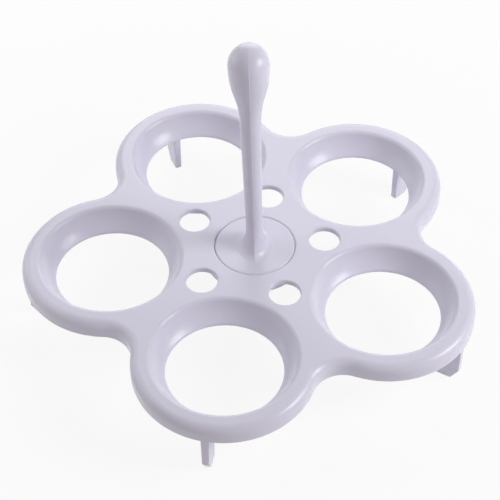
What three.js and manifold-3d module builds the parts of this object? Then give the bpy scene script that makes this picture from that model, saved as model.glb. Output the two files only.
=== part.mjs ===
// Egg steamer rack: a five-lobed moulded plate with an egg cup in each lobe, standing on five fin legs,
// and a knobbed handle whose round foot is pushed up into the plate from below.
// Millimetres, +Z up. The floor under the legs is z = 0.

import * as THREE from 'three';
import { mergeVertices } from 'three/addons/utils/BufferGeometryUtils.js';
import Module from 'manifold-3d';

const wasm = await Module();
wasm.setup();

// Driving dimensions of the plate.
const CUP_COUNT = 5;
const WALL = 1.6; // plate, cups and skirt are one even wall
const PLATE_HEIGHT = 19.5; // plate top above the floor
const RIM_ROLL_RADIUS = 2.5; // rounding of the plate's outer edge
const RIM_LAND = 1.7; // flat band between the rolled edge and a cup's mouth
const SKIRT_DEPTH = 5.2; // skirt's lower edge below the plate top
const VALLEY_RADIUS = 8.2; // hollow curve of the edge between two lobes

// Driving dimensions of the egg cups.
const CUP_MOUTH_RADIUS = 20;
const CUP_MOUTH_ROUNDING = 1.2;
const CUP_HOLLOW_RADIUS = 10; // hollow curve of a cup's wall between its mouth and its lower lip
const CUP_THROAT_RADIUS = 15.4;
const CUP_DEPTH = 7.35; // cup's lower lip below the plate top

// Driving dimensions of the steam holes.
const STEAM_HOLE_RADIUS = 4.25;
const SEAT_TO_STEAM_HOLE = 3.55; // plate left between the handle's seat and a steam hole
const STEAM_HOLE_TO_CUP = 2; // plate left between a steam hole and a cup's mouth

// Driving dimensions of the legs.
const LEG_THICKNESS = 2.3; // in the plate
const FOOT_THICKNESS = 1.9; // at the floor
const FOOT_SETBACK = 2; // how far a leg's outer edge steps in at the floor
const FOOT_SETBACK_HEIGHT = 3.6;

// Driving dimensions of the handle.
const HANDLE_HEIGHT = 68.4; // knob top above the plate top
const KNOB_RADIUS = 5.36;
const NECK_RADIUS = 2.85;
const NECK_HEIGHT = 45; // where the knob's taper has run out, above the plate top
const STEM_RADIUS = 2.15;
const ROOT_HEIGHT = 6; // how far up the stem its spread root reaches
const ROOT_HALF_LENGTH = 7.3; // along the handle's mould seam
const ROOT_HALF_WIDTH = 4.2; // across the seam
const SEAM_TURN = THREE.MathUtils.degToRad(12); // how far the seam stands turned from the front
const HANDLE_FOOT_RADIUS = 11.1;
const FLANGE_OVERLAP = 2.45; // how far the flange reaches under the plate
const FLANGE_THICKNESS = 2.3;

// Fits and small edges.
const SEAT_CLEARANCE = 0.3; // gap between the handle's foot and its seat in the plate
const EDGE_ROUNDING = 0.45;

// Smoothness of the curved faces.
const LOBE_STEPS = 18;
const VALLEY_STEPS = 6;
const ROLL_STEPS = 4;
const CUP_TURN_STEPS = 36;
const CUP_WALL_STEPS = 3;
const HOLE_TURN_STEPS = 24;
const HANDLE_TURN_STEPS = 36;
const ROUNDING_STEPS = 3;
const EDGE_STEPS = 2;
const ROOT_STEPS = 6;
const LENS_STEPS = 12;
const TAPER_STEPS = 9;
const DOME_STEPS = 7;

// Layout, worked outwards from the handle: its seat, the steam holes round it, then the cups.
const cupPitch = (2 * Math.PI) / CUP_COUNT;
const halfPitch = cupPitch / 2;
const frontAngle = -Math.PI / 2;
const seatRadius = HANDLE_FOOT_RADIUS + SEAT_CLEARANCE;
const steamCircleRadius = seatRadius + SEAT_TO_STEAM_HOLE + STEAM_HOLE_RADIUS;
const steamToCupCentre = STEAM_HOLE_RADIUS + STEAM_HOLE_TO_CUP + CUP_MOUTH_RADIUS;
const cupCircleRadius = steamCircleRadius * Math.cos(halfPitch)
  + Math.sqrt(steamToCupCentre ** 2 - (steamCircleRadius * Math.sin(halfPitch)) ** 2);

// Outline of the plate: an arc round each cup, joined to the next by a hollow valley arc.
const lobeRadius = CUP_MOUTH_RADIUS + RIM_LAND + RIM_ROLL_RADIUS;
const valleyDistance = cupCircleRadius * Math.cos(halfPitch)
  + Math.sqrt((lobeRadius + VALLEY_RADIUS) ** 2 - (cupCircleRadius * Math.sin(halfPitch)) ** 2);
const lobeSweep = Math.atan2(
  valleyDistance * Math.sin(halfPitch),
  valleyDistance * Math.cos(halfPitch) - cupCircleRadius,
);

// Heights above the floor.
const plateUnderside = PLATE_HEIGHT - WALL;
const plateMiddle = PLATE_HEIGHT - WALL / 2;
const rollCentreHeight = PLATE_HEIGHT - RIM_ROLL_RADIUS;
const skirtBottom = PLATE_HEIGHT - SKIRT_DEPTH;
const cupBottom = PLATE_HEIGHT - CUP_DEPTH;

// Section of a cup's wall: a hollow arc that touches the roundings of the mouth and of the lower lip.
const lipRadius = WALL / 2;
const lipCentre = point(CUP_THROAT_RADIUS + lipRadius, cupBottom + lipRadius);
const mouthCentre = point(CUP_MOUTH_RADIUS, PLATE_HEIGHT - CUP_MOUTH_ROUNDING);
const lipToMouth = mouthCentre.clone().sub(lipCentre);
const hollowToLip = CUP_HOLLOW_RADIUS + lipRadius;
const hollowToMouth = CUP_HOLLOW_RADIUS + CUP_MOUTH_ROUNDING;
const lipCorner = Math.acos(
  (lipToMouth.lengthSq() + hollowToLip ** 2 - hollowToMouth ** 2) / (2 * lipToMouth.length() * hollowToLip),
);
const lipAngle = lipToMouth.angle() + lipCorner;
const hollowCentre = point(
  lipCentre.x + hollowToLip * Math.cos(lipAngle),
  lipCentre.y + hollowToLip * Math.sin(lipAngle),
);
const mouthAngle = hollowCentre.clone().sub(mouthCentre).angle();

// How far a cutting tool runs past the faces it cuts.
const cutterOvershoot = WALL;

function point(radius, height) {
  return new THREE.Vector2(radius, height);
}

function arc(centreRadius, centreHeight, radius, from, to, steps) {
  const clockwise = to < from;
  return new THREE.ArcCurve(centreRadius, centreHeight, radius, from, to, clockwise).getPoints(steps);
}

// Closed triangle body of a geometry, ready to be joined or cut.
function solid(geometry) {
  geometry.deleteAttribute('normal');
  geometry.deleteAttribute('uv');
  const welded = mergeVertices(geometry);
  const corners = welded.index.array;
  const triangles = [];
  for (let i = 0; i < corners.length; i += 3) {
    const [a, b, c] = corners.slice(i, i + 3);
    if (a !== b && b !== c && c !== a) triangles.push(a, b, c);
  }
  const mesh = new wasm.Mesh({
    numProp: 3,
    vertProperties: new Float32Array(welded.attributes.position.array),
    triVerts: new Uint32Array(triangles),
  });
  return new wasm.Manifold(mesh);
}

// Body turned about the Z axis. The profile runs from the axis below to the axis above.
function turned(profile, steps) {
  return solid(new THREE.LatheGeometry(profile, steps).rotateX(Math.PI / 2));
}

// Closed body through level rings of equal point count, listed from the lowest up.
function loft(rings) {
  const count = rings[0].points.length;
  const positions = rings.flatMap(({ points, height }) => points.flatMap((p) => [p.x, p.y, height]));
  const triangles = [];
  for (let ring = 0; ring < rings.length - 1; ring += 1) {
    for (let i = 0; i < count; i += 1) {
      const a = ring * count + i;
      const b = ring * count + ((i + 1) % count);
      triangles.push(a, b, b + count, a, b + count, a + count);
    }
  }
  const top = (rings.length - 1) * count;
  for (const [a, b, c] of THREE.ShapeUtils.triangulateShape(rings[0].points, [])) {
    triangles.push(c, b, a);
  }
  for (const [a, b, c] of THREE.ShapeUtils.triangulateShape(rings[rings.length - 1].points, [])) {
    triangles.push(top + a, top + b, top + c);
  }
  const geometry = new THREE.BufferGeometry();
  geometry.setAttribute('position', new THREE.Float32BufferAttribute(positions, 3));
  geometry.setIndex(triangles);
  return solid(geometry);
}

function cupAngle(cup) {
  return frontAngle + cup * cupPitch;
}

function turnedAbout(body, angle) {
  return body.rotate([0, 0, THREE.MathUtils.radToDeg(angle)]);
}

// Copies of a body made on the +X axis, one at each cup or, half a pitch on, between the cups.
function roundTheAxis(body, turn = 0) {
  return Array.from({ length: CUP_COUNT }, (_, cup) => turnedAbout(body, cupAngle(cup) + turn));
}

function joined(first, ...others) {
  return others.reduce((whole, body) => whole.add(body), first);
}

function cutBy(body, ...cutters) {
  return cutters.reduce((rest, cutter) => rest.subtract(cutter), body);
}

// The plate's outline moved inwards: lobes shrink and valleys widen by the same amount.
function outline(inset) {
  const points = [];
  for (let cup = 0; cup < CUP_COUNT; cup += 1) {
    const angle = cupAngle(cup);
    const lobeEnd = angle + lobeSweep;
    const valleyAngle = angle + halfPitch;
    const valleyStart = lobeEnd + Math.PI;
    const lobe = arc(
      cupCircleRadius * Math.cos(angle),
      cupCircleRadius * Math.sin(angle),
      lobeRadius - inset,
      angle - lobeSweep,
      lobeEnd,
      LOBE_STEPS,
    );
    const valley = arc(
      valleyDistance * Math.cos(valleyAngle),
      valleyDistance * Math.sin(valleyAngle),
      VALLEY_RADIUS + inset,
      valleyStart,
      valleyStart - 2 * (lobeSweep - halfPitch),
      VALLEY_STEPS,
    );
    points.push(...lobe.slice(0, -1), ...valley.slice(0, -1));
  }
  return points;
}

// Lobed body with an upright side that rolls over into a flat top.
function rolledBody(sideInset, rollRadius, bottom) {
  const flatInset = sideInset + rollRadius;
  const roll = arc(flatInset, rollCentreHeight, rollRadius, Math.PI, Math.PI / 2, ROLL_STEPS);
  const section = [point(sideInset, bottom), ...roll];
  return loft(section.map(({ x, y }) => ({ points: outline(x), height: y })));
}

function plateShell() {
  const outside = rolledBody(0, RIM_ROLL_RADIUS, skirtBottom);
  const inside = rolledBody(WALL, RIM_ROLL_RADIUS - WALL, skirtBottom - cutterOvershoot);
  return cutBy(outside, inside);
}

// Outside of an egg cup, filled in, from its rounded lower lip up into the plate.
function cupBody() {
  const lipEnd = lipAngle - Math.PI;
  const outsideRadius = CUP_HOLLOW_RADIUS + WALL;
  const wallEnd = Math.asin((plateMiddle - hollowCentre.y) / outsideRadius);
  const lip = arc(lipCentre.x, lipCentre.y, lipRadius, -Math.PI / 2, lipEnd, ROUNDING_STEPS);
  const wall = arc(hollowCentre.x, hollowCentre.y, outsideRadius, lipEnd, wallEnd, CUP_WALL_STEPS);
  const profile = [point(0, cupBottom), ...lip, ...wall.slice(1), point(0, plateMiddle)];
  return turned(profile, CUP_TURN_STEPS).translate([cupCircleRadius, 0, 0]);
}

// Inside of an egg cup: the lip's inner half, the hollow wall and the rounded mouth.
function cupHollow() {
  const quarter = Math.PI / 2;
  const wallStart = lipAngle - Math.PI;
  const wallEnd = mouthAngle - Math.PI;
  const lip = arc(lipCentre.x, lipCentre.y, lipRadius, -quarter, wallStart - Math.PI, ROUNDING_STEPS);
  const wall = arc(hollowCentre.x, hollowCentre.y, CUP_HOLLOW_RADIUS, wallStart, wallEnd, CUP_WALL_STEPS);
  const mouth = arc(mouthCentre.x, mouthCentre.y, CUP_MOUTH_ROUNDING, mouthAngle, quarter, ROUNDING_STEPS);
  const profile = [
    point(0, cupBottom - cutterOvershoot),
    point(lipCentre.x, cupBottom - cutterOvershoot),
    ...lip,
    ...wall.slice(1),
    ...mouth.slice(1),
    point(mouthCentre.x, PLATE_HEIGHT + cutterOvershoot),
    point(0, PLATE_HEIGHT + cutterOvershoot),
  ];
  return turned(profile, CUP_TURN_STEPS).translate([cupCircleRadius, 0, 0]);
}

// Round hole through the plate with its upper edge rounded.
function plateHole(radius, distance) {
  const mouth = radius + EDGE_ROUNDING;
  const edge = arc(mouth, PLATE_HEIGHT - EDGE_ROUNDING, EDGE_ROUNDING, Math.PI, Math.PI / 2, EDGE_STEPS);
  const profile = [
    point(0, plateUnderside - cutterOvershoot),
    point(radius, plateUnderside - cutterOvershoot),
    ...edge,
    point(mouth, PLATE_HEIGHT + cutterOvershoot),
    point(0, PLATE_HEIGHT + cutterOvershoot),
  ];
  return turned(profile, HOLE_TURN_STEPS).translate([distance, 0, 0]);
}

// Upright fin from the cup's lower lip out to the skirt.
// It thins towards the floor, where its outer edge steps in.
function leg() {
  const inner = cupCircleRadius + CUP_THROAT_RADIUS + WALL;
  const outer = cupCircleRadius + lobeRadius - WALL / 2;
  const side = new THREE.Shape([
    point(inner, 0),
    point(outer - FOOT_SETBACK, 0),
    point(outer, FOOT_SETBACK_HEIGHT),
    point(outer, plateMiddle),
    point(inner, plateMiddle),
  ]);
  const fin = new THREE.ExtrudeGeometry(side, { depth: LEG_THICKNESS, bevelEnabled: false });
  fin.translate(0, 0, -LEG_THICKNESS / 2);
  const corners = fin.attributes.position;
  for (let i = 0; i < corners.count; i += 1) {
    const height = corners.getY(i);
    const thickness = THREE.MathUtils.mapLinear(height, 0, plateMiddle, FOOT_THICKNESS, LEG_THICKNESS);
    corners.setZ(i, corners.getZ(i) * (thickness / LEG_THICKNESS));
  }
  return solid(fin.rotateX(Math.PI / 2));
}

function rackPlate() {
  const moulding = joined(plateShell(), ...roundTheAxis(cupBody()), ...roundTheAxis(leg()));
  return cutBy(
    moulding,
    ...roundTheAxis(cupHollow()),
    ...roundTheAxis(plateHole(STEAM_HOLE_RADIUS, steamCircleRadius), halfPitch),
    plateHole(seatRadius, 0),
  );
}

// Foot disc in the plate's seat with a flange under the plate, hollowed below to an even wall.
function handleFootProfile() {
  const flangeTop = plateUnderside - SEAT_CLEARANCE;
  const flangeBottom = flangeTop - FLANGE_THICKNESS;
  const flangeRadius = seatRadius + FLANGE_OVERLAP;
  const hollowRadius = HANDLE_FOOT_RADIUS - WALL;
  const rim = HANDLE_FOOT_RADIUS - EDGE_ROUNDING;
  return [
    point(0, plateUnderside),
    point(hollowRadius, plateUnderside),
    point(hollowRadius, flangeBottom),
    point(flangeRadius, flangeBottom),
    point(flangeRadius, flangeTop),
    point(HANDLE_FOOT_RADIUS, flangeTop),
    ...arc(rim, PLATE_HEIGHT - EDGE_ROUNDING, EDGE_ROUNDING, 0, Math.PI / 2, EDGE_STEPS),
  ];
}

// Stem that widens slowly up to the neck, then swells into the ball knob.
function handleGripProfile() {
  const knobHeight = PLATE_HEIGHT + HANDLE_HEIGHT - KNOB_RADIUS;
  const neckHeight = PLATE_HEIGHT + NECK_HEIGHT;
  const stemSlope = (NECK_RADIUS - STEM_RADIUS) / NECK_HEIGHT;
  const taperPull = (knobHeight - neckHeight) / 2;
  const taper = new THREE.CubicBezierCurve(
    point(NECK_RADIUS, neckHeight),
    point(NECK_RADIUS + taperPull * stemSlope, neckHeight + taperPull),
    point(KNOB_RADIUS, knobHeight - taperPull),
    point(KNOB_RADIUS, knobHeight),
  );
  const dome = arc(0, knobHeight, KNOB_RADIUS, 0, Math.PI / 2, DOME_STEPS);
  return [
    point(STEM_RADIUS, PLATE_HEIGHT),
    ...taper.getPoints(TAPER_STEPS),
    ...dome.slice(1, -1),
    point(0, knobHeight + KNOB_RADIUS),
  ];
}

// Pointed oval of two equal arcs that meet on the Y axis.
function lens(halfLength, halfWidth) {
  const radius = (halfLength ** 2 + halfWidth ** 2) / (2 * halfWidth);
  const centre = radius - halfWidth;
  const reach = Math.asin(halfLength / radius);
  const right = arc(-centre, 0, radius, -reach, reach, LENS_STEPS);
  const left = arc(centre, 0, radius, Math.PI - reach, Math.PI + reach, LENS_STEPS);
  return [...right.slice(0, -1), ...left.slice(0, -1)];
}

// Root that stands in the foot as a pointed oval along the seam and narrows upwards into the round stem.
function handleRoot() {
  const rings = [{ points: lens(ROOT_HALF_LENGTH, ROOT_HALF_WIDTH), height: plateMiddle }];
  for (let step = 0; step <= ROOT_STEPS; step += 1) {
    const height = (ROOT_HEIGHT * step) / ROOT_STEPS;
    const spread = 1 - THREE.MathUtils.smoothstep(height, 0, ROOT_HEIGHT);
    const halfLength = THREE.MathUtils.lerp(STEM_RADIUS, ROOT_HALF_LENGTH, spread);
    const halfWidth = THREE.MathUtils.lerp(STEM_RADIUS, ROOT_HALF_WIDTH, spread);
    rings.push({ points: lens(halfLength, halfWidth), height: PLATE_HEIGHT + height });
  }
  return turnedAbout(loft(rings), SEAM_TURN);
}

function handle() {
  const round = turned([...handleFootProfile(), ...handleGripProfile()], HANDLE_TURN_STEPS);
  return joined(round, handleRoot());
}

function named(name, body, material) {
  const { vertProperties, triVerts } = body.getMesh();
  const geometry = new THREE.BufferGeometry();
  geometry.setAttribute('position', new THREE.BufferAttribute(vertProperties, 3));
  geometry.setIndex(new THREE.BufferAttribute(triVerts, 1));
  geometry.computeVertexNormals();
  const mesh = new THREE.Mesh(geometry, material);
  mesh.name = name;
  return mesh;
}

const platePlastic = new THREE.MeshStandardMaterial({ color: '#dddbe8', roughness: 0.38, metalness: 0 });
const handlePlastic = new THREE.MeshStandardMaterial({ color: '#d9d7e5', roughness: 0.32, metalness: 0 });

const rack = new THREE.Group();
rack.add(named('rack_plate', rackPlate(), platePlastic));
rack.add(named('handle', handle(), handlePlastic));

// The origin is the middle of the rack's footprint on the floor.
// The handle's axis stands a little behind it.
const frontReach = cupCircleRadius + lobeRadius;
const backReach = cupCircleRadius * Math.cos(halfPitch) + lobeRadius;
rack.position.y = (frontReach - backReach) / 2;

export default rack;
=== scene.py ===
"""Looks of the egg steamer rack: two mouldings in soft-gloss white plastic on a pale studio floor.

Metres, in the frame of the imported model. The handle's axis is the middle of the five-fold pattern,
and the floor under the legs is z = 0.
"""

import logging
import math
from dataclasses import dataclass, field
from enum import Enum
from typing import NamedTuple

import bpy
from mathutils import Matrix, Vector
from mathutils.geometry import tessellate_polygon


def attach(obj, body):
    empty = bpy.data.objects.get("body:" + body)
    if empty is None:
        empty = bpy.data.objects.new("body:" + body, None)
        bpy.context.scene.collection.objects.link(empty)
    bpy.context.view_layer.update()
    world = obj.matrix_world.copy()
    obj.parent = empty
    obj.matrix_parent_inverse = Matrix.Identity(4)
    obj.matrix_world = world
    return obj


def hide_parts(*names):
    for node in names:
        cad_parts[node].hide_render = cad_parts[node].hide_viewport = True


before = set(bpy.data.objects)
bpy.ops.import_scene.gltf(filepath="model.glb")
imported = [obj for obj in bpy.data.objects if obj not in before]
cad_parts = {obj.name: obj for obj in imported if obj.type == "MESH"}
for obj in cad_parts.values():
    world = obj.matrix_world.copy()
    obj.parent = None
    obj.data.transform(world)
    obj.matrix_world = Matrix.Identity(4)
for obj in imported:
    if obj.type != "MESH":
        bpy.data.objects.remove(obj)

MM = 0.001
QUARTER = math.pi / 2
UP = Vector((0.0, 0.0, 1.0))
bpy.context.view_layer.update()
LOG = logging.getLogger("egg_steamer_rack")


class Body(Enum):
    """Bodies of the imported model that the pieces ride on."""

    RACK = "rack"
    HANDLE = "handle"


class Slot(Enum):
    """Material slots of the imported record."""

    RACK = "rack_plastic"
    HANDLE = "handle_plastic"


class Station(NamedTuple):
    """Point of a moulding's section.

    Attributes:
        reach: Distance along a spoke.
        height: Height above the floor.
        tilt: Angle of the surface normal above the spoke's outward direction.
    """

    reach: float
    height: float
    tilt: float


class Spoke(NamedTuple):
    """Upright half-plane that a section is swept through.

    Attributes:
        origin: Plan point where the reach is nought.
        outward: Plan direction in which the reach grows.
    """

    origin: Vector
    outward: Vector


class Level(NamedTuple):
    """Level of the handle's grip.

    Attributes:
        height: Height above the floor.
        half_length: Half of the section's length along the mould seam.
        half_width: Half of the section's width across the seam.
    """

    height: float
    half_length: float
    half_width: float


def plan_direction(angle: float) -> Vector:
    """Unit vector in plan at an angle from +X."""
    return Vector((math.cos(angle), math.sin(angle), 0.0))


def arc(
    centre: tuple[float, float],
    radius: float,
    start: float,
    end: float,
    steps: int,
    hollow: bool = False,
) -> list[Station]:
    """Round stretch of a section.

    Args:
        centre: Reach and height of the arc's centre.
        radius: Radius of the arc.
        start: Angle of the first point, from the outward direction.
        end: Angle of the last point.
        steps: Number of straight steps along the arc.
        hollow: Whether the surface faces the arc's centre.

    Returns:
        The stations from start to end.
    """
    turned = math.pi if hollow else 0.0
    stations = []
    for step in range(steps + 1):
        angle = start + (end - start) * step / steps
        reach = centre[0] + radius * math.cos(angle)
        height = centre[1] + radius * math.sin(angle)
        stations.append(Station(reach, height, angle + turned))
    return stations


def bezier(points: list[tuple[float, float]], steps: int) -> list[Station]:
    """Cubic stretch of a section, listed upwards with its outer side facing out.

    Args:
        points: Reach and height of the four control points.
        steps: Number of straight steps along the curve.

    Returns:
        The stations from the first control point to the last.
    """
    a, b, c, d = (Vector(p) for p in points)
    stations = []
    for step in range(steps + 1):
        t = step / steps
        s = 1.0 - t
        place = a * s**3 + b * 3 * s * s * t + c * 3 * s * t * t + d * t**3
        run = (b - a) * s * s + (c - b) * 2 * s * t + (d - c) * t * t
        stations.append(Station(place.x, place.y, math.atan2(-run.x, run.y)))
    return stations


def wheel(centre: Vector, steps: int) -> list[Spoke]:
    """Spokes all round an upright axis.

    Args:
        centre: Plan point of the axis.
        steps: Number of spokes.

    Returns:
        The spokes, anticlockwise from +X.
    """
    return [Spoke(centre, plan_direction(2 * math.pi * step / steps)) for step in range(steps)]


def rounded_loop(corners: list[Vector], radius: float, steps: int) -> list[Vector]:
    """Level loop with rounded corners.

    Args:
        corners: Sharp corners of the loop, anticlockwise and at one height.
        radius: Radius of the rounded corners.
        steps: Number of steps round each corner.

    Returns:
        The loop's points, anticlockwise.
    """
    points = []
    for i, corner in enumerate(corners):
        before = (corner - corners[i - 1]).normalized()
        after = (corners[(i + 1) % len(corners)] - corner).normalized()
        turn = before.angle(after)
        start = math.atan2(-before.x, before.y)
        centre = corner + (after - before).normalized() * (radius / math.cos(turn / 2))
        for step in range(steps + 1):
            points.append(centre + plan_direction(start + turn * step / steps) * radius)
    return points


@dataclass
class Skin:
    """Mesh under construction that keeps the true surface normal at each vertex."""

    points: list[Vector] = field(default_factory=list)
    normals: list[Vector] = field(default_factory=list)
    faces: list[tuple[int, ...]] = field(default_factory=list)

    def vertex(self, point: Vector, normal: Vector) -> int:
        """Adds a vertex and returns its number."""
        self.points.append(point)
        self.normals.append(normal.normalized())
        return len(self.points) - 1

    def sweep(self, spokes: list[Spoke], section: list[Station]) -> list[list[int]]:
        """Carries a section round a closed row of spokes.

        Args:
            spokes: The spokes, anticlockwise in plan.
            section: The stations along the surface.

        Returns:
            One ring of vertex numbers for each station.
        """
        rings = []
        for reach, height, tilt in section:
            ring = []
            for origin, outward in spokes:
                point = origin + outward * reach + UP * height
                ring.append(self.vertex(point, outward * math.cos(tilt) + UP * math.sin(tilt)))
            rings.append(ring)
        for first, second in zip(rings, rings[1:]):
            self.bridge(first, second)
        return rings

    def drape(self, rings: list[list[Vector]], run_out: Vector) -> list[list[int]]:
        """Carries a skin up through rings of points.

        Args:
            rings: The rings from the lowest up, anticlockwise and of equal count.
            run_out: Surface normal where the skin runs out at the lowest ring.

        Returns:
            The vertex numbers of each ring.
        """
        rows = []
        for low, ring, high in zip(rings[:1] + rings, rings, rings[1:] + rings[-1:]):
            row = []
            for i, point in enumerate(ring):
                along = ring[(i + 1) % len(ring)] - ring[i - 1]
                normal = run_out if low is ring else along.cross(high[i] - low[i])
                row.append(self.vertex(point, normal))
            rows.append(row)
        for first, second in zip(rows, rows[1:]):
            self.bridge(first, second)
        return rows

    def bridge(self, first: list[int], second: list[int]) -> None:
        """Joins two closed rings of equal count with quads."""
        count = len(first)
        for i in range(count):
            j = (i + 1) % count
            quad = (first[i], second[i], second[j], first[j])
            self.faces.append(self.facing(quad, sum((self.normals[k] for k in quad), Vector())))

    def close(self, ring: list[int], height: float, normal: Vector) -> None:
        """Closes a ring with a fan about its middle.

        Args:
            ring: Vertex numbers of the ring.
            height: Height of the fan's middle.
            normal: Surface normal at the middle.
        """
        middle = sum((self.points[i] for i in ring), Vector()) / len(ring)
        middle.z = height
        tip = self.vertex(middle, normal)
        for i, first in enumerate(ring):
            second = ring[(i + 1) % len(ring)]
            self.faces.append(self.facing((first, second, tip), normal))

    def fill(self, loops: list[list[int]], normal: Vector) -> None:
        """Fills a flat face that has holes.

        Args:
            loops: Vertex numbers of the outer loop and of each hole's loop.
            normal: The side that the face shows.
        """
        numbers = [i for loop in loops for i in loop]
        outlines = [[self.points[i] for i in loop] for loop in loops]
        for corners in tessellate_polygon(outlines):
            triangle = tuple(numbers[corner] for corner in corners)
            self.faces.append(self.facing(triangle, normal))

    def facing(self, corners: tuple[int, ...], normal: Vector) -> tuple[int, ...]:
        """Returns the face's corners in the order that shows it on the normal's side."""
        first = self.points[corners[0]]
        rays = [self.points[i] - first for i in corners[1:]]
        area = sum((a.cross(b) for a, b in zip(rays, rays[1:])), Vector())
        return corners if area.dot(normal) > 0 else corners[::-1]

    def take(self, other: "Skin", matrix: Matrix) -> None:
        """Takes in a copy of another skin.

        Args:
            other: The skin to copy.
            matrix: Rigid motion that sets the copy in place.
        """
        first = len(self.points)
        turn = matrix.to_3x3()
        self.points += [matrix @ point for point in other.points]
        self.normals += [turn @ normal for normal in other.normals]
        self.faces += [tuple(first + i for i in face) for face in other.faces]

    def piece(self, name: str) -> bpy.types.Object:
        """Makes the finished object.

        Args:
            name: Name of the object and of its mesh.

        Returns:
            The object, linked to the scene.
        """
        mesh = bpy.data.meshes.new(name)
        mesh.from_pydata(self.points, [], self.faces)
        mesh.shade_smooth()
        mesh.normals_split_custom_set_from_vertices(self.normals)
        made = bpy.data.objects.new(name, mesh)
        bpy.context.scene.collection.objects.link(made)
        return made


@dataclass(frozen=True)
class MouldedPlastic:
    """Soft-gloss white plastic with a cloudy tint, uneven gloss and the fine grain of its mould.

    Attributes:
        name: Name of the material.
        colour: Linear colour of the clear areas.
        cloud_colour: Linear colour of the faintly darker clouds.
        gloss: Lowest and highest roughness.
        refraction: Index of refraction.
        shine: Level of the mirror-like share of the gloss.
        glow: Share of the light that spreads under the surface.
        glow_spread: How far red, green and blue light spread, against the glow's depth.
        glow_depth: How far light spreads under the surface.
        cloud_size: Width of a cloud.
        cloud_detail: Number of finer layers in a cloud.
        smear_size: Width of a patch of even gloss.
        smear_detail: Number of finer layers in such a patch.
        grain_size: Width of a grain.
        grain_detail: Number of finer layers in a grain.
        grain_depth: Height of a grain.
        seed: Place in the noise, so that no two mouldings are alike.
    """

    name: str
    colour: tuple[float, float, float]
    cloud_colour: tuple[float, float, float]
    gloss: tuple[float, float]
    refraction: float = 1.49
    shine: float = 0.4
    glow: float = 0.12
    glow_spread: tuple[float, float, float] = (1.0, 0.9, 1.1)
    glow_depth: float = 1.2 * MM
    cloud_size: float = 22.0 * MM
    cloud_detail: float = 3.0
    smear_size: float = 5.5 * MM
    smear_detail: float = 4.0
    grain_size: float = 0.35 * MM
    grain_detail: float = 2.0
    grain_depth: float = 0.0012 * MM
    seed: float = 0.0

    def material(self) -> bpy.types.Material:
        """Makes the node material."""
        made = bpy.data.materials.new(self.name)
        made.use_nodes = True
        tree = made.node_tree
        shader = tree.nodes["Principled BSDF"]
        shader.inputs["IOR"].default_value = self.refraction
        shader.inputs["Specular IOR Level"].default_value = self.shine
        shader.inputs["Subsurface Weight"].default_value = self.glow
        shader.inputs["Subsurface Radius"].default_value = self.glow_spread
        shader.inputs["Subsurface Scale"].default_value = self.glow_depth
        place = tree.nodes.new("ShaderNodeTexCoord")
        shift = tree.nodes.new("ShaderNodeMapping")
        shift.inputs["Location"].default_value = (self.seed, self.seed, self.seed)
        tree.links.new(place.outputs["Object"], shift.inputs["Vector"])
        clouds = self.noise(tree, shift, self.cloud_size, self.cloud_detail)
        tint = tree.nodes.new("ShaderNodeMix")
        tint.data_type = "RGBA"
        tint.inputs["A"].default_value = (*self.cloud_colour, 1.0)
        tint.inputs["B"].default_value = (*self.colour, 1.0)
        tree.links.new(clouds.outputs["Fac"], tint.inputs["Factor"])
        tree.links.new(tint.outputs["Result"], shader.inputs["Base Color"])
        smears = self.noise(tree, shift, self.smear_size, self.smear_detail)
        polish = tree.nodes.new("ShaderNodeMapRange")
        polish.inputs["To Min"].default_value = self.gloss[0]
        polish.inputs["To Max"].default_value = self.gloss[1]
        tree.links.new(smears.outputs["Fac"], polish.inputs["Value"])
        tree.links.new(polish.outputs["Result"], shader.inputs["Roughness"])
        grain = self.noise(tree, shift, self.grain_size, self.grain_detail)
        bump = tree.nodes.new("ShaderNodeBump")
        bump.inputs["Strength"].default_value = 1.0
        bump.inputs["Distance"].default_value = self.grain_depth
        tree.links.new(grain.outputs["Fac"], bump.inputs["Height"])
        tree.links.new(bump.outputs["Normal"], shader.inputs["Normal"])
        return made

    def noise(
        self, tree: bpy.types.NodeTree, place: bpy.types.Node, width: float, detail: float
    ) -> bpy.types.Node:
        """Adds a noise of a real width.

        Args:
            tree: The material's node tree.
            place: Node that gives the place on the moulding.
            width: Width of one patch of the noise.
            detail: Number of finer layers.

        Returns:
            The noise node.
        """
        node = tree.nodes.new("ShaderNodeTexNoise")
        node.inputs["Scale"].default_value = 1.0 / width
        node.inputs["Detail"].default_value = detail
        tree.links.new(place.outputs["Vector"], node.inputs["Vector"])
        return node


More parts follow.
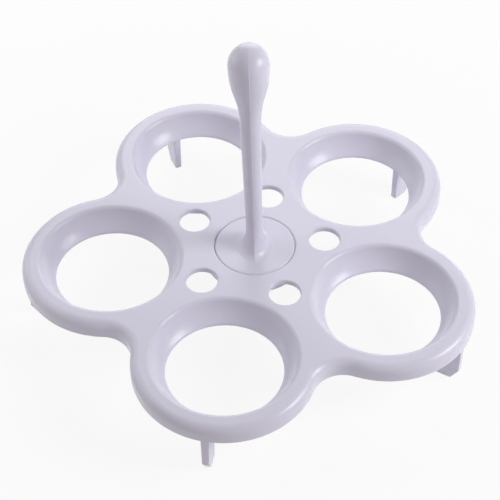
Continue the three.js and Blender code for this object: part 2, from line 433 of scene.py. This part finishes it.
@dataclass
class RackPlate:
    """Five-lobed plate with a rolled edge, egg cups, steam holes, a handle seat and fin legs.

    Attributes:
        finish: Plastic of the plate.
        cup_count: Number of lobes, cups, legs and steam holes.
        wall: Thickness of the plate, the cups and the skirt.
        plate_height: Height of the plate's top above the floor.
        rim_roll: Rounding of the plate's outer edge.
        rim_land: Flat band between the rolled edge and a cup's mouth.
        skirt_depth: Depth of the skirt's lower edge below the plate's top.
        skirt_edge: Rounding of the skirt's lower edge.
        valley_radius: Hollow curve of the edge between two lobes.
        cup_mouth: Radius of a cup where its mouth's rounding meets the flat top.
        cup_mouth_rounding: Rounding of a cup's mouth.
        cup_hollow: Hollow curve of a cup's wall.
        cup_throat: Radius of a cup at its lower lip.
        cup_depth: Depth of a cup's lower lip below the plate's top.
        cup_root_fillet: Fillet between a cup's outside and the plate's underside.
        steam_hole: Radius of a steam hole.
        seat: Radius of the handle's seat.
        seat_to_steam_hole: Plate left between the seat and a steam hole.
        seat_edge: Rounding of the seat's upper edge.
        steam_hole_to_cup: Plate left between a steam hole and a cup's mouth.
        hole_edge: Rounding of a steam hole's upper edge.
        under_edge: Rounding of the holes' lower edges.
        leg_thickness: Thickness of a leg in the plate.
        foot_thickness: Thickness of a leg at the floor.
        leg_edge: Rounding of a leg's long edges.
        foot_edge: Rounding of the edges of a leg's foot.
        foot_setback: How far a leg's outer edge steps in at the floor.
        foot_setback_height: Height at which that step begins.
        lobe_steps: Steps of the edge round a lobe.
        valley_steps: Steps of the edge round a valley.
        cup_steps: Steps round a cup or the seat.
        hole_steps: Steps round a steam hole.
        roll_steps: Steps over a broad rounding.
        edge_steps: Steps over a small rounding.
    """

    finish: MouldedPlastic
    cup_count: int = 5
    wall: float = 1.6 * MM
    plate_height: float = 19.5 * MM
    rim_roll: float = 2.5 * MM
    rim_land: float = 1.7 * MM
    skirt_depth: float = 5.2 * MM
    skirt_edge: float = 0.5 * MM
    valley_radius: float = 8.2 * MM
    cup_mouth: float = 20.0 * MM
    cup_mouth_rounding: float = 1.2 * MM
    cup_hollow: float = 10.0 * MM
    cup_throat: float = 15.4 * MM
    cup_depth: float = 7.35 * MM
    cup_root_fillet: float = 0.8 * MM
    steam_hole: float = 4.25 * MM
    seat: float = 11.02 * MM
    seat_to_steam_hole: float = 3.93 * MM
    seat_edge: float = 0.5 * MM
    steam_hole_to_cup: float = 2.0 * MM
    hole_edge: float = 0.45 * MM
    under_edge: float = 0.2 * MM
    leg_thickness: float = 2.3 * MM
    foot_thickness: float = 1.9 * MM
    leg_edge: float = 0.35 * MM
    foot_edge: float = 0.12 * MM
    foot_setback: float = 2.0 * MM
    foot_setback_height: float = 3.6 * MM
    lobe_steps: int = 60
    valley_steps: int = 18
    cup_steps: int = 120
    hole_steps: int = 60
    roll_steps: int = 10
    edge_steps: int = 5

    @property
    def half_pitch(self) -> float:
        """Angle from a cup to the steam hole beside it."""
        return math.pi / self.cup_count

    @property
    def underside(self) -> float:
        """Height of the plate's lower face."""
        return self.plate_height - self.wall

    @property
    def lip_height(self) -> float:
        """Height of the middle of a cup's rounded lower lip."""
        return self.plate_height - self.cup_depth + self.wall / 2

    @property
    def steam_circle(self) -> float:
        """Distance of the steam holes from the handle's axis."""
        return self.seat + self.seat_to_steam_hole + self.steam_hole

    @property
    def cup_circle(self) -> float:
        """Distance of the cups from the handle's axis."""
        to_cup = self.steam_hole + self.steam_hole_to_cup + self.cup_mouth
        across = self.steam_circle * math.sin(self.half_pitch)
        return self.steam_circle * math.cos(self.half_pitch) + math.sqrt(to_cup**2 - across**2)

    @property
    def lobe_radius(self) -> float:
        """Radius of the plate's edge about a cup."""
        return self.cup_mouth + self.rim_land + self.rim_roll

    @property
    def valley_distance(self) -> float:
        """Distance of a valley's centre from the handle's axis."""
        across = self.cup_circle * math.sin(self.half_pitch)
        reach = self.lobe_radius + self.valley_radius
        return self.cup_circle * math.cos(self.half_pitch) + math.sqrt(reach**2 - across**2)

    @property
    def axis(self) -> Vector:
        """Plan point of the handle's axis: the footprint's middle lies a little in front of it."""
        return Vector((0.0, self.cup_circle * (1.0 - math.cos(self.half_pitch)) / 2, 0.0))

    def cup_angles(self, turn: float = 0.0) -> list[float]:
        """Plan angles of the cups, from the front one, each moved on by a turn."""
        return [2 * self.half_pitch * cup - QUARTER + turn for cup in range(self.cup_count)]

    def edge_spokes(self) -> list[Spoke]:
        """Spokes along the plate's edge.

        Returns:
            The spokes, anticlockwise, with their reach measured outwards from the edge.
        """
        far = self.valley_distance * math.cos(self.half_pitch) - self.cup_circle
        sweep = math.atan2(self.valley_distance * math.sin(self.half_pitch), far)
        spokes = []
        for angle in self.cup_angles():
            cup = self.axis + plan_direction(angle) * self.cup_circle
            for step in range(self.lobe_steps):
                out = plan_direction(angle + sweep * (2 * step / self.lobe_steps - 1))
                spokes.append(Spoke(cup + out * self.lobe_radius, out))
            valley = self.axis + plan_direction(angle + self.half_pitch) * self.valley_distance
            turn = 2 * (sweep - self.half_pitch)
            for step in range(self.valley_steps):
                out = plan_direction(angle + sweep - turn * step / self.valley_steps)
                spokes.append(Spoke(valley - out * self.valley_radius, out))
        return spokes

    def rim_section(self) -> list[Station]:
        """Section of the edge, from the flat top over the roll, down the skirt and up inside."""
        roll = (-self.rim_roll, self.plate_height - self.rim_roll)
        lip_height = self.plate_height - self.skirt_depth + self.skirt_edge
        outer_lip = (-self.skirt_edge, lip_height)
        inner_lip = (self.skirt_edge - self.wall, lip_height)
        return [
            *arc(roll, self.rim_roll, QUARTER, 0.0, self.roll_steps),
            *arc(outer_lip, self.skirt_edge, 0.0, -QUARTER, self.edge_steps),
            *arc(inner_lip, self.skirt_edge, -QUARTER, -2 * QUARTER, self.edge_steps),
            *arc(roll, self.rim_roll - self.wall, 0.0, QUARTER, self.edge_steps, hollow=True),
        ]

    def cup_section(self) -> list[Station]:
        """Section of a cup, from the flat top over its mouth, down its wall and up outside."""
        lip = self.wall / 2
        mouth = Vector((self.cup_mouth, self.plate_height - self.cup_mouth_rounding))
        throat = Vector((self.cup_throat + lip, self.lip_height))
        drop = mouth - throat
        to_mouth = self.cup_hollow + self.cup_mouth_rounding
        to_throat = self.cup_hollow + lip
        along = (drop.length_squared + to_throat**2 - to_mouth**2) / (2 * drop.length)
        aside = math.sqrt(to_throat**2 - along**2)
        run = drop.normalized()
        middle = throat + run * along + Vector((-run.y, run.x)) * aside
        steep = math.atan2(middle.y - mouth.y, middle.x - mouth.x)
        shallow = math.atan2(middle.y - throat.y, middle.x - throat.x)
        root_height = self.underside - self.cup_root_fillet
        outside = self.cup_hollow + self.wall + self.cup_root_fillet
        root_drop = middle.y - root_height
        root = (middle.x + math.sqrt(outside**2 - root_drop**2), root_height)
        root_turn = math.atan2(root_drop, middle.x - root[0])
        return [
            *arc(tuple(mouth), self.cup_mouth_rounding, QUARTER, steep, self.roll_steps),
            *arc(tuple(middle), self.cup_hollow, steep + math.pi, shallow + math.pi, self.roll_steps,
                 hollow=True)[1:],
            *arc(tuple(throat), lip, shallow, shallow + math.pi, self.roll_steps)[1:],
            *arc(tuple(middle), self.cup_hollow + self.wall, shallow + math.pi, root_turn + math.pi,
                 self.roll_steps)[1:],
            *arc(root, self.cup_root_fillet, root_turn, QUARTER, self.edge_steps, hollow=True)[1:],
        ]

    def hole_section(self, radius: float, edge: float) -> list[Station]:
        """Section of a round hole through the plate.

        Args:
            radius: Radius of the hole.
            edge: Rounding of its upper edge.

        Returns:
            The stations from the flat top to the flat underside.
        """
        top = (radius + edge, self.plate_height - edge)
        bottom = (radius + self.under_edge, self.underside + self.under_edge)
        return [
            *arc(top, edge, QUARTER, 2 * QUARTER, self.edge_steps),
            *arc(bottom, self.under_edge, 2 * QUARTER, 3 * QUARTER, self.edge_steps),
        ]

    def add_plate(self, skin: Skin) -> None:
        """Adds the plate's edge, cups and holes, and the flat faces between them."""
        rings = [skin.sweep(self.edge_spokes(), self.rim_section())]
        for angle in self.cup_angles():
            centre = self.axis + plan_direction(angle) * self.cup_circle
            rings.append(skin.sweep(wheel(centre, self.cup_steps), self.cup_section()))
        for angle in self.cup_angles(self.half_pitch):
            centre = self.axis + plan_direction(angle) * self.steam_circle
            spokes = wheel(centre, self.hole_steps)
            rings.append(skin.sweep(spokes, self.hole_section(self.steam_hole, self.hole_edge)))
        seat_spokes = wheel(self.axis, self.cup_steps)
        rings.append(skin.sweep(seat_spokes, self.hole_section(self.seat, self.seat_edge)))
        skin.fill([ring[0] for ring in rings], UP)
        skin.fill([ring[-1] for ring in rings], -UP)

    def leg_ring(self, height: float, inset: float = 0.0) -> list[Vector]:
        """Ring of a leg that stands across the +X axis.

        Args:
            height: Height above the floor.
            inset: How far the ring lies inside the leg's sides.

        Returns:
            The ring's points, anticlockwise.
        """
        inner = self.cup_circle + self.cup_throat + self.wall + inset
        outer = self.cup_circle + self.lobe_radius - self.wall / 2 - inset
        if height > self.lip_height:
            share = (height - self.lip_height) / (self.underside - self.lip_height)
            inner += (self.cup_mouth - self.cup_throat - self.wall) * share
        if height < self.foot_setback_height:
            outer -= self.foot_setback * (1 - height / self.foot_setback_height)
        thickened = (self.leg_thickness - self.foot_thickness) * height / self.plate_height
        half = (self.foot_thickness + thickened) / 2 - inset
        plan = [(inner, -half), (outer, -half), (outer, half), (inner, half)]
        corners = [Vector((*corner, height)) for corner in plan]
        return rounded_loop(corners, self.leg_edge - inset, self.edge_steps)

    def leg(self) -> Skin:
        """Makes a fin leg on the +X side of the axis.

        Returns:
            The leg, which thins towards the floor and runs up into the cup's wall and the skirt.
        """
        edge = self.foot_edge
        rings = [
            self.leg_ring(height, -reach)
            for reach, height, _ in arc((-edge, edge), edge, -QUARTER, 0.0, self.edge_steps)
        ]
        for bend in (-edge, edge):
            rings.append(self.leg_ring(self.foot_setback_height + bend))
        rings += [self.leg_ring(self.lip_height), self.leg_ring(self.underside)]
        skin = Skin()
        rows = skin.drape(rings, -UP)
        skin.fill([rows[0]], -UP)
        skin.fill([rows[-1]], UP)
        return skin

    def build(self) -> bpy.types.Object:
        """Builds and dresses the plate.

        Returns:
            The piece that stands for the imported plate.
        """
        skin = Skin()
        self.add_plate(skin)
        leg = self.leg()
        for angle in self.cup_angles():
            skin.take(leg, Matrix.Translation(self.axis) @ Matrix.Rotation(angle, 4, "Z"))
        made = skin.piece("rack_moulding")
        made.data.materials.append(self.finish.material())
        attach(made, Body.RACK.value)
        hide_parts("rack_plate")
        return made


@dataclass
class Handle:
    """Ball-topped handle moulded in two halves, with a root pointed at its seam and a flanged foot.

    Attributes:
        finish: Plastic of the handle.
        axis: Plan point of the handle's axis.
        plate_height: Height of the plate's top above the floor.
        plate_wall: Thickness of the plate.
        height: Height of the knob's top above the plate's top.
        knob_radius: Radius of the knob.
        neck_radius: Radius of the stem where the knob's taper begins.
        neck_height: Height of that place above the plate's top.
        stem_radius: Radius of the stem at the plate's top.
        root_height: How far up the stem its spread root reaches.
        root_half_length: Reach of the root along the seam, without its fillet.
        root_half_width: Reach of the root across the seam, without its fillet.
        root_flare: Power by which the root's spread dies out upwards.
        root_fillet: Fillet between the root and the disc.
        foot_radius: Radius of the disc in the plate's seat.
        flange_radius: Radius of the flange under the plate.
        flange_thickness: Thickness of the flange.
        flange_clearance: Play between the flange and the plate's underside.
        foot_edge: Rounding of the flange's edges.
        disc_edge: Rounding of the disc's upper edge.
        mould_draft: Draft of each mould half at the seam.
        seam_heading: Plan angle of the seam that shows in front.
        seam_height: Height of the seam's fine ridge.
        seam_width: Angle over which that ridge dies out.
        lean: Lean of the handle in its seat.
        lean_heading: Plan angle that the handle leans towards.
        half_steps: Steps round a quarter of the handle.
        curve_steps: Steps up the root, the knob's taper and the knob.
        edge_steps: Steps over a small rounding.
    """

    finish: MouldedPlastic
    axis: Vector
    plate_height: float
    plate_wall: float
    height: float = 68.4 * MM
    knob_radius: float = 5.36 * MM
    neck_radius: float = 2.85 * MM
    neck_height: float = 45.0 * MM
    stem_radius: float = 2.15 * MM
    root_height: float = 10.0 * MM
    root_half_length: float = 6.2 * MM
    root_half_width: float = 3.8 * MM
    root_flare: int = 3
    root_fillet: float = 1.2 * MM
    foot_radius: float = 10.98 * MM
    flange_radius: float = 13.85 * MM
    flange_thickness: float = 2.3 * MM
    flange_clearance: float = 0.3 * MM
    foot_edge: float = 0.3 * MM
    disc_edge: float = 0.6 * MM
    mould_draft: float = math.radians(4.0)
    seam_heading: float = math.radians(-78.0)
    seam_height: float = 0.05 * MM
    seam_width: float = math.radians(1.6)
    lean: float = math.radians(1.2)
    lean_heading: float = math.radians(191.9)
    half_steps: int = 64
    curve_steps: int = 24
    edge_steps: int = 5

    @property
    def stem_slope(self) -> float:
        """Growth of the stem's radius for each step up."""
        return (self.neck_radius - self.stem_radius) / self.neck_height

    def turns(self) -> list[tuple[float, float]]:
        """Turns round the handle, close together beside the seam.

        Returns:
            Plan angle of each mould half's middle, and the share of the way from it to the seam.
        """
        turns = []
        for half in range(2):
            middle = self.seam_heading + QUARTER + half * math.pi
            for step in range(2 * self.half_steps):
                turns.append((middle, math.sin(QUARTER * (step / self.half_steps - 1))))
        return turns

    def foot_spokes(self) -> list[Spoke]:
        """Spokes of the round foot."""
        headings = [middle + QUARTER * share for middle, share in self.turns()]
        return [Spoke(self.axis, plan_direction(heading)) for heading in headings]

    def foot_section(self) -> list[Station]:
        """Section of the foot, from under the disc round the flange to the disc's top."""
        underside = self.plate_height - self.plate_wall
        flange_top = underside - self.flange_clearance
        flange_bottom = flange_top - self.flange_thickness
        hollow = self.foot_radius - self.plate_wall
        edge = self.foot_edge
        disc = self.disc_edge
        steps = self.edge_steps
        return [
            *arc((hollow - edge, underside - edge), edge, QUARTER, 0.0, steps, hollow=True),
            *arc((hollow + edge, flange_bottom + edge), edge, -2 * QUARTER, -QUARTER, steps),
            *arc((self.flange_radius - edge, flange_bottom + edge), edge, -QUARTER, 0.0, steps),
            *arc((self.flange_radius - edge, flange_top - edge), edge, 0.0, QUARTER, steps),
            *arc((self.foot_radius + edge, flange_top + edge), edge, -QUARTER, -2 * QUARTER,
                 steps, hollow=True),
            *arc((self.foot_radius - disc, self.plate_height - disc), disc, 0.0, QUARTER, steps),
        ]

    def level(self, height: float, radius: float, spread: float = 0.0, flare: float = 0.0) -> Level:
        """Level of the grip.

        Args:
            height: Height above the floor.
            radius: Mean radius of the stem or knob.
            spread: Share of the root's full size.
            flare: Extra reach of the fillet at the root's foot.

        Returns:
            The size of the two-arc section, which is a little pointed by the mould's draft.
        """
        pointed = math.sqrt(math.tan((QUARTER + self.mould_draft) / 2))
        length = radius * pointed
        width = radius / pointed
        length += (self.root_half_length - length) * spread + flare
        width += (self.root_half_width - width) * spread + flare
        return Level(height, length, width)

    def root_levels(self) -> list[Level]:
        """Levels of the root, from the fillet on the disc up to the stem."""
        fillet = self.root_fillet
        rise = self.root_height - fillet
        climb = arc((fillet, fillet), fillet, -QUARTER, -2 * QUARTER, self.edge_steps)
        climb += [Station(0.0, fillet + rise * step / self.curve_steps, 0.0)
                  for step in range(1, self.curve_steps + 1)]
        levels = []
        for flare, height, _ in climb:
            spread = (1 - height / self.root_height) ** self.root_flare
            radius = self.stem_radius + self.stem_slope * height
            levels.append(self.level(self.plate_height + height, radius, spread, flare))
        return levels

    def knob_levels(self) -> list[Level]:
        """Levels from the neck up the knob's taper and over the knob."""
        knob_height = self.plate_height + self.height - self.knob_radius
        neck_height = self.plate_height + self.neck_height
        pull = (knob_height - neck_height) / 2
        taper = [
            (self.neck_radius, neck_height),
            (self.neck_radius + pull * self.stem_slope, neck_height + pull),
            (self.knob_radius, knob_height - pull),
            (self.knob_radius, knob_height),
        ]
        crown = QUARTER * (1 - 1 / self.curve_steps)
        dome = arc((0.0, knob_height), self.knob_radius, 0.0, crown, self.curve_steps)
        stations = bezier(taper, self.curve_steps) + dome[1:]
        return [self.level(height, reach) for reach, height, _ in stations]

    def ring(self, level: Level) -> list[Vector]:
        """Ring of the grip, whose two arcs meet at a fine raised seam."""
        radius = (level.half_length**2 + level.half_width**2) / (2 * level.half_width)
        reach = math.asin(level.half_length / radius)
        points = []
        for middle, share in self.turns():
            centre = self.axis + plan_direction(middle) * (level.half_width - radius)
            from_seam = reach * (1 - abs(share)) / self.seam_width
            ridge = self.seam_height * math.exp(-(from_seam**2))
            out = plan_direction(middle + reach * share)
            points.append(centre + out * (radius + ridge) + UP * level.height)
        return points

    def seated(self) -> Matrix:
        """Lean of the handle in its seat, as far as the play under the plate lets it."""
        pivot = Matrix.Translation(self.axis + UP * (self.plate_height - self.plate_wall / 2))
        hinge = UP.cross(plan_direction(self.lean_heading))
        return pivot @ Matrix.Rotation(self.lean, 4, hinge) @ pivot.inverted()

    def build(self) -> bpy.types.Object:
        """Builds and dresses the handle.

        Returns:
            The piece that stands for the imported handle.
        """
        upright = Skin()
        foot = upright.sweep(self.foot_spokes(), self.foot_section())
        levels = self.root_levels() + self.knob_levels()
        grip = upright.drape([self.ring(level) for level in levels], UP)
        upright.bridge(foot[-1], grip[0])
        upright.close(foot[0], self.plate_height - self.plate_wall, -UP)
        upright.close(grip[-1], self.plate_height + self.height, UP)
        skin = Skin()
        skin.take(upright, self.seated())
        made = skin.piece("handle_moulding")
        made.data.materials.append(self.finish.material())
        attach(made, Body.HANDLE.value)
        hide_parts("handle")
        return made


@dataclass(frozen=True)
class Lamp:
    """Square softbox aimed at the rack.

    Attributes:
        name: Name of the lamp.
        heading: Plan angle that the lamp stands at, from +X.
        elevation: Angle of the lamp above the floor.
        distance: Distance from the rack.
        width: Side of the softbox.
        power: Radiant power in watts.
    """

    name: str
    heading: float
    elevation: float
    distance: float
    width: float
    power: float

    def light(self, target: Vector) -> bpy.types.Object:
        """Sets the lamp up.

        Args:
            target: Point that the lamp is aimed at.

        Returns:
            The lamp's object.
        """
        data = bpy.data.lights.new(self.name, "AREA")
        data.energy = self.power
        data.size = self.width
        made = bpy.data.objects.new(self.name, data)
        flat = plan_direction(self.heading) * math.cos(self.elevation)
        back = flat + UP * math.sin(self.elevation)
        made.location = target + back * self.distance
        made.rotation_euler = back.to_track_quat("Z", "Y").to_euler()
        made.visible_camera = False
        bpy.context.scene.collection.objects.link(made)
        return made


@dataclass(frozen=True)
class Studio:
    """Pale floor, soft lamps and the room's own light.

    Attributes:
        lamps: The softboxes.
        ambience: Strength of the even light from all round.
        fill: Strength of the warm light from the front of the room.
        fill_colour: Linear colour of the warm light.
        fill_heading: Plan angle that the warm light comes from.
        floor_width: Side of the floor.
        floor_colour: Linear colour of the floor.
        floor_white: Share of plain white in what the camera sees of the floor by the rack.
        floor_fade: Distances between which the floor turns to plain white.
    """

    lamps: tuple[Lamp, ...]
    ambience: float = 0.1
    fill: float = 0.43
    fill_colour: tuple[float, float, float] = (1.0, 0.86, 0.82)
    fill_heading: float = math.radians(-78.0)
    floor_width: float = 60.0
    floor_colour: tuple[float, float, float] = (0.9, 0.9, 0.9)
    floor_white: float = 0.88
    floor_fade: tuple[float, float] = (0.08, 0.3)

    def backdrop_rays(self, tree: bpy.types.NodeTree) -> bpy.types.NodeSocket:
        """Adds the test for rays that see the backdrop.

        Args:
            tree: Node tree of the floor or of the world.

        Returns:
            Socket that is 1 for camera, glossy and transmission rays.
        """
        path = tree.nodes.new("ShaderNodeLightPath")
        first = tree.nodes.new("ShaderNodeMath")
        second = tree.nodes.new("ShaderNodeMath")
        first.operation = "MAXIMUM"
        second.operation = "MAXIMUM"
        tree.links.new(path.outputs["Is Camera Ray"], first.inputs[0])
        tree.links.new(path.outputs["Is Glossy Ray"], first.inputs[1])
        tree.links.new(first.outputs["Value"], second.inputs[0])
        tree.links.new(path.outputs["Is Transmission Ray"], second.inputs[1])
        return second.outputs["Value"]

    def floor_material(self) -> bpy.types.Material:
        """Makes the pale floor: it looks white and keeps the rack's soft shadow."""
        made = bpy.data.materials.new("pale_floor")
        made.use_nodes = True
        tree = made.node_tree
        tree.nodes.clear()
        paper = tree.nodes.new("ShaderNodeBsdfDiffuse")
        paper.inputs["Color"].default_value = (*self.floor_colour, 1.0)
        white = tree.nodes.new("ShaderNodeEmission")
        place = tree.nodes.new("ShaderNodeTexCoord")
        away = tree.nodes.new("ShaderNodeVectorMath")
        away.operation = "LENGTH"
        fade = tree.nodes.new("ShaderNodeMapRange")
        fade.interpolation_type = "SMOOTHSTEP"
        fade.inputs["From Min"].default_value = self.floor_fade[0]
        fade.inputs["From Max"].default_value = self.floor_fade[1]
        fade.inputs["To Min"].default_value = self.floor_white
        share = tree.nodes.new("ShaderNodeMath")
        share.operation = "MULTIPLY"
        blend = tree.nodes.new("ShaderNodeMixShader")
        output = tree.nodes.new("ShaderNodeOutputMaterial")
        tree.links.new(place.outputs["Object"], away.inputs[0])
        tree.links.new(away.outputs["Value"], fade.inputs["Value"])
        tree.links.new(fade.outputs["Result"], share.inputs[1])
        tree.links.new(self.backdrop_rays(tree), share.inputs[0])
        tree.links.new(share.outputs["Value"], blend.inputs["Fac"])
        tree.links.new(paper.outputs["BSDF"], blend.inputs[1])
        tree.links.new(white.outputs["Emission"], blend.inputs[2])
        tree.links.new(blend.outputs["Shader"], output.inputs["Surface"])
        return made

    def floor(self) -> bpy.types.Object:
        """Lays the floor under the legs."""
        half = self.floor_width / 2
        corners = [(-half, -half, 0.0), (half, -half, 0.0), (half, half, 0.0), (-half, half, 0.0)]
        mesh = bpy.data.meshes.new("studio_floor")
        mesh.from_pydata(corners, [], [(0, 1, 2, 3)])
        made = bpy.data.objects.new("studio_floor", mesh)
        bpy.context.scene.collection.objects.link(made)
        made.data.materials.append(self.floor_material())
        return made

    def room_fill(self, tree: bpy.types.NodeTree) -> bpy.types.Node:
        """Adds the warm light, strongest from straight ahead and fading to the sides.

        Args:
            tree: Node tree of the world.

        Returns:
            The light's background node.
        """
        made = tree.nodes.new("ShaderNodeBackground")
        made.inputs["Color"].default_value = (*self.fill_colour, 1.0)
        ray = tree.nodes.new("ShaderNodeTexCoord")
        ahead = tree.nodes.new("ShaderNodeVectorMath")
        ahead.operation = "DOT_PRODUCT"
        ahead.inputs[1].default_value = plan_direction(self.fill_heading) * self.fill
        strength = tree.nodes.new("ShaderNodeMath")
        strength.operation = "MAXIMUM"
        strength.inputs[1].default_value = 0.0
        tree.links.new(ray.outputs["Generated"], ahead.inputs[0])
        tree.links.new(ahead.outputs["Value"], strength.inputs[0])
        tree.links.new(strength.outputs["Value"], made.inputs["Strength"])
        return made

    def world(self) -> None:
        """Sets the room's light, with white behind the rack."""
        made = bpy.data.worlds.new("studio_air")
        made.use_nodes = True
        tree = made.node_tree
        tree.nodes.clear()
        air = tree.nodes.new("ShaderNodeBackground")
        air.inputs["Strength"].default_value = self.ambience
        white = tree.nodes.new("ShaderNodeBackground")
        for node in (air, white):
            node.inputs["Color"].default_value = (1.0, 1.0, 1.0, 1.0)
        room = tree.nodes.new("ShaderNodeAddShader")
        blend = tree.nodes.new("ShaderNodeMixShader")
        output = tree.nodes.new("ShaderNodeOutputWorld")
        tree.links.new(air.outputs["Background"], room.inputs[0])
        tree.links.new(self.room_fill(tree).outputs["Background"], room.inputs[1])
        tree.links.new(self.backdrop_rays(tree), blend.inputs["Fac"])
        tree.links.new(room.outputs["Shader"], blend.inputs[1])
        tree.links.new(white.outputs["Background"], blend.inputs[2])
        tree.links.new(blend.outputs["Shader"], output.inputs["Surface"])
        bpy.context.scene.world = made

    def build(self, target: Vector) -> list[bpy.types.Object]:
        """Sets up the floor, the world and the lamps.

        Args:
            target: Point that the lamps are aimed at.

        Returns:
            The floor and the lamps.
        """
        self.world()
        return [self.floor(), *(lamp.light(target) for lamp in self.lamps)]


@dataclass(frozen=True)
class PhotoCamera:
    """Camera at the photograph's viewing angle.

    Attributes:
        heading: Turn of the camera about the handle's axis, from the front.
        elevation: Angle of the view above the floor.
        roll: Turn of the camera about its own axis.
        distance: Depth of the aim point from the camera.
        focal_pixels: Focal length in pixels of the picture.
        picture_pixels: Side of the square picture.
        aim_pixel: Where the aim point stands in the picture.
        sensor_width: Side of the sensor in millimetres.
        near_clip: Distance at which the camera begins to see.
    """

    heading: float = math.radians(11.903)
    elevation: float = math.radians(46.759)
    roll: float = math.radians(-0.404)
    distance: float = 394.98 * MM
    focal_pixels: float = 1447.27
    picture_pixels: int = 500
    aim_pixel: tuple[float, float] = (254.29, 244.07)
    sensor_width: float = 36.0
    near_clip: float = 10.0 * MM

    def build(self, aim: Vector) -> bpy.types.Object:
        """Makes the camera and gives it to the scene.

        Args:
            aim: Point that stands at the aim pixel.

        Returns:
            The camera's object.
        """
        data = bpy.data.cameras.new("photo_camera")
        data.sensor_width = self.sensor_width
        data.lens = self.sensor_width * self.focal_pixels / self.picture_pixels
        data.clip_start = self.near_clip
        made = bpy.data.objects.new("photo_camera", data)
        turn = (
            Matrix.Rotation(self.heading, 3, "Z")
            @ Matrix.Rotation(QUARTER - self.elevation, 3, "X")
            @ Matrix.Rotation(self.roll, 3, "Z")
        )
        middle = (self.picture_pixels - 1) / 2
        across = (self.aim_pixel[0] - middle) / self.focal_pixels
        down = (self.aim_pixel[1] - middle) / self.focal_pixels
        sight = Vector((across, -down, -1.0)) * self.distance
        made.matrix_world = Matrix.Translation(aim - turn @ sight) @ turn.to_4x4()
        bpy.context.scene.collection.objects.link(made)
        bpy.context.scene.camera = made
        return made


def main() -> None:
    """Builds the rack, its handle, the studio and the camera in turn."""
    logging.basicConfig(level=logging.INFO, format="%(name)s: %(message)s")
    bpy.context.scene.view_settings.view_transform = "Standard"
    plate_plastic = MouldedPlastic(
        name="moulded_plate_plastic",
        colour=(0.724, 0.7135, 0.839),
        cloud_colour=(0.704, 0.692, 0.823),
        gloss=(0.22, 0.268),
    )
    handle_plastic = MouldedPlastic(
        name="moulded_handle_plastic",
        colour=(0.714, 0.703, 0.829),
        cloud_colour=(0.694, 0.682, 0.813),
        gloss=(0.22, 0.268),
        seed=0.37,
    )
    plate = RackPlate(finish=plate_plastic)
    handle = Handle(
        finish=handle_plastic,
        axis=plate.axis,
        plate_height=plate.plate_height,
        plate_wall=plate.wall,
    )
    for piece in (plate.build(), handle.build()):
        LOG.info("piece %s: %d faces", piece.name, len(piece.data.polygons))
    hub = plate.axis + UP * plate.plate_height
    studio = Studio(
        lamps=(
            Lamp(
                name="key_softbox",
                heading=math.radians(0.0),
                elevation=math.radians(32.0),
                distance=0.45,
                width=0.2,
                power=1.12,
            ),
            Lamp(
                name="back_softbox",
                heading=math.radians(102.0),
                elevation=math.radians(28.0),
                distance=0.4,
                width=0.3,
                power=0.59,
            ),
            Lamp(
                name="left_softbox",
                heading=math.radians(177.0),
                elevation=math.radians(30.0),
                distance=0.35,
                width=0.3,
                power=0.39,
            ),
            Lamp(
                name="top_softbox",
                heading=math.radians(102.0),
                elevation=math.radians(85.0),
                distance=0.4,
                width=0.4,
                power=0.15,
            ),
        ),
    )
    for thing in (*studio.build(hub), PhotoCamera().build(hub)):
        LOG.info("stage %s", thing.name)


if __name__ == "__main__":
    main()
